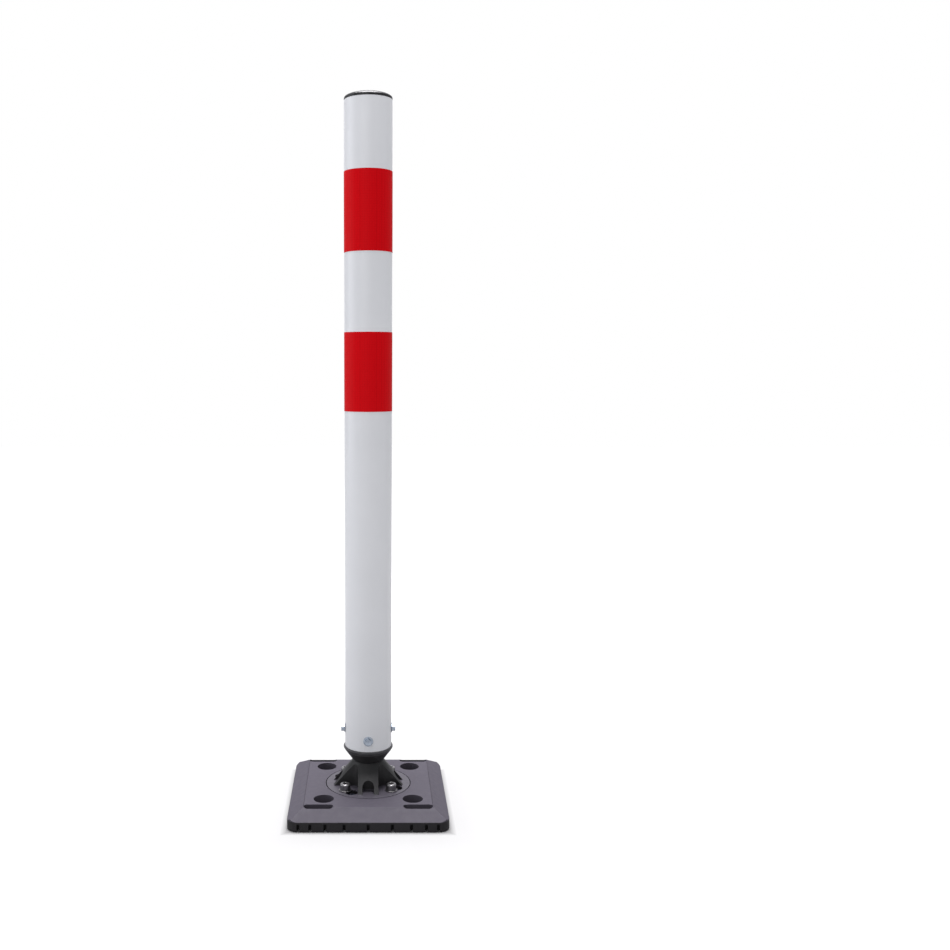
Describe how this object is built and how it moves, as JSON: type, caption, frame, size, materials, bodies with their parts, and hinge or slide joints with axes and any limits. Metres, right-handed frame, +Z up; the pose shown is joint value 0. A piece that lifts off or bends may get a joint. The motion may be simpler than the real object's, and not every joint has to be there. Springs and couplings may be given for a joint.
{
  "type": "delineator post",
  "caption": "Self-righting roadside post: white tube with red reflective bands on a flexible neck and foot, bolted to a square bevelled base plate with anchor holes.",
  "frame": {"origin": "middle of the base plate's underside, on the ground", "axes": "+Z up along the tube, front towards -Y, +X to the right seen from the front"},
  "size_m": [0.2, 0.2, 0.9],
  "materials": {
    "plate_plastic": "moulded black plastic with a fine satin grain",
    "foot_elastomer": "moulded black elastomer, satin",
    "plug_plastic": "moulded black plastic",
    "tube_paint": "white powder coat, satin",
    "red_film": "red reflective film, glossy",
    "cap_plastic": "moulded black plastic, satin",
    "stainless": "stainless steel",
    "zinc_screw": "bright zinc plate",
    "zinc_steel": "zinc-plated steel"
  },
  "bodies": {
    "root": {"base_plate": "plate_plastic", "flex_foot": "foot_elastomer", "foot_backing_ring": "zinc_steel", "foot_bolt_front_left": "stainless", "foot_bolt_front_right": "stainless", "foot_bolt_rear_left": "stainless", "foot_bolt_rear_right": "stainless", "foot_washer_front_left": "stainless", "foot_washer_front_right": "stainless", "foot_washer_rear_left": "stainless", "foot_washer_rear_right": "stainless", "foot_nut_front_left": "zinc_steel", "foot_nut_front_right": "zinc_steel", "foot_nut_rear_left": "zinc_steel", "foot_nut_rear_right": "zinc_steel"},
    "neck": {"flex_neck": "foot_elastomer", "lower_stud_plate": "zinc_steel", "lower_stud_washer": "zinc_steel", "lower_stud_nut": "zinc_steel"},
    "post": {"upper_stud_plate": "zinc_steel", "upper_stud_washer": "zinc_steel", "upper_stud_nut": "zinc_steel", "tube_plug": "plug_plastic", "post_tube": "tube_paint", "upper_band": "red_film", "lower_band": "red_film", "end_cap": "cap_plastic", "tube_screw_front": "zinc_screw", "tube_screw_back": "zinc_screw", "tube_screw_left": "zinc_screw", "tube_screw_right": "zinc_screw"}
  },
  "joints": [
    {"name": "lean_front_back", "type": "hinge", "parent": "root", "child": "neck", "pos_m": [0, 0, 0.046], "axis": [1, 0, 0], "range_deg": [-30, 30], "stiffness_Nm_per_rad": 200, "deforming": ["flex_foot"]},
    {"name": "lean_left_right", "type": "hinge", "parent": "neck", "child": "post", "pos_m": [0, 0, 0.061], "axis": [0, 1, 0], "range_deg": [-30, 30], "stiffness_Nm_per_rad": 200, "deforming": ["flex_neck"]}
  ]
}
